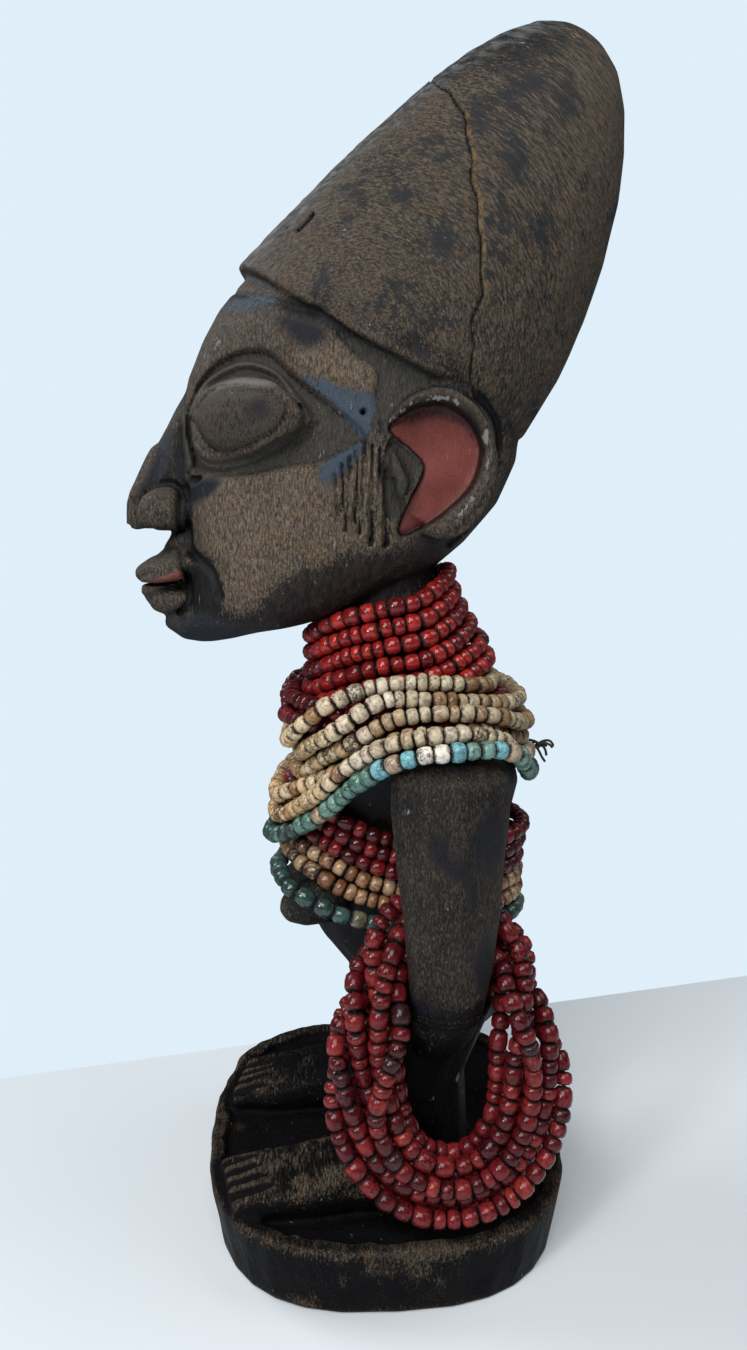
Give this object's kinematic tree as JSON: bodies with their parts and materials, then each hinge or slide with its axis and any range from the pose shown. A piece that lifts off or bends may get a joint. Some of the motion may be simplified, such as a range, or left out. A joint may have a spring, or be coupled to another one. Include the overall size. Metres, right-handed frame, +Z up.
{
  "type": "ibeji figure",
  "caption": "Standing carved wooden twin figure on a rounded base, with a tall swept-back coiffure and strings of glass beads round its neck, shoulders, chest and left wrist.",
  "frame": {"origin": "on the underside of the base, below the middle of the figure", "axes": "+Z up, the figure faces -Y, and its left side, where the wrist loops hang, is +X"},
  "size_m": [0.093, 0.1116, 0.2788],
  "materials": {
    "wood": "dense hand-carved wood, dark and handled, worn to grey-brown on the face and coiffure, with traces of indigo and red paint",
    "bright_red_beads": "opaque drawn glass, rounded and worn, glossy with dirt in the gaps",
    "dark_red_beads": "opaque drawn glass, rounded and worn, glossy with dirt in the gaps",
    "crimson_beads": "opaque drawn glass, rounded and worn, glossy with dirt in the gaps, dusty",
    "cream_beads": "opaque drawn glass, rounded and worn, glossy with dirt in the gaps, speckled dark",
    "turquoise_beads": "opaque drawn glass, rounded and worn, glossy with dirt in the gaps",
    "tan_beads": "opaque drawn glass, rounded and worn, glossy with dirt in the gaps",
    "green_beads": "opaque drawn glass, rounded and worn, glossy with dirt in the gaps"
  },
  "bodies": {
    "root": {"carved_figure": "wood", "neck_strand_1": "bright_red_beads", "neck_strand_2": "bright_red_beads", "neck_strand_3": "bright_red_beads", "neck_strand_4": "bright_red_beads", "neck_strand_5": "bright_red_beads", "neck_strand_6": "bright_red_beads", "loose_strand_1": "dark_red_beads", "loose_strand_2": "dark_red_beads", "collar_strand_1": "cream_beads", "collar_strand_2": "cream_beads", "collar_strand_3": "cream_beads", "collar_strand_4": "cream_beads", "collar_strand_5": "cream_beads", "collar_strand_turquoise": "turquoise_beads", "chest_strand_red_1": "dark_red_beads", "chest_strand_red_2": "dark_red_beads", "chest_strand_red_3": "dark_red_beads", "chest_strand_tan_1": "tan_beads", "chest_strand_tan_2": "tan_beads", "chest_strand_green": "green_beads", "wrist_loop_1": "crimson_beads", "wrist_loop_2": "crimson_beads", "wrist_loop_3": "crimson_beads", "wrist_loop_4": "crimson_beads", "wrist_loop_5": "crimson_beads", "wrist_loop_6": "crimson_beads", "wrist_loop_7": "crimson_beads", "wrist_loop_8": "crimson_beads"}
  },
  "joints": []
}
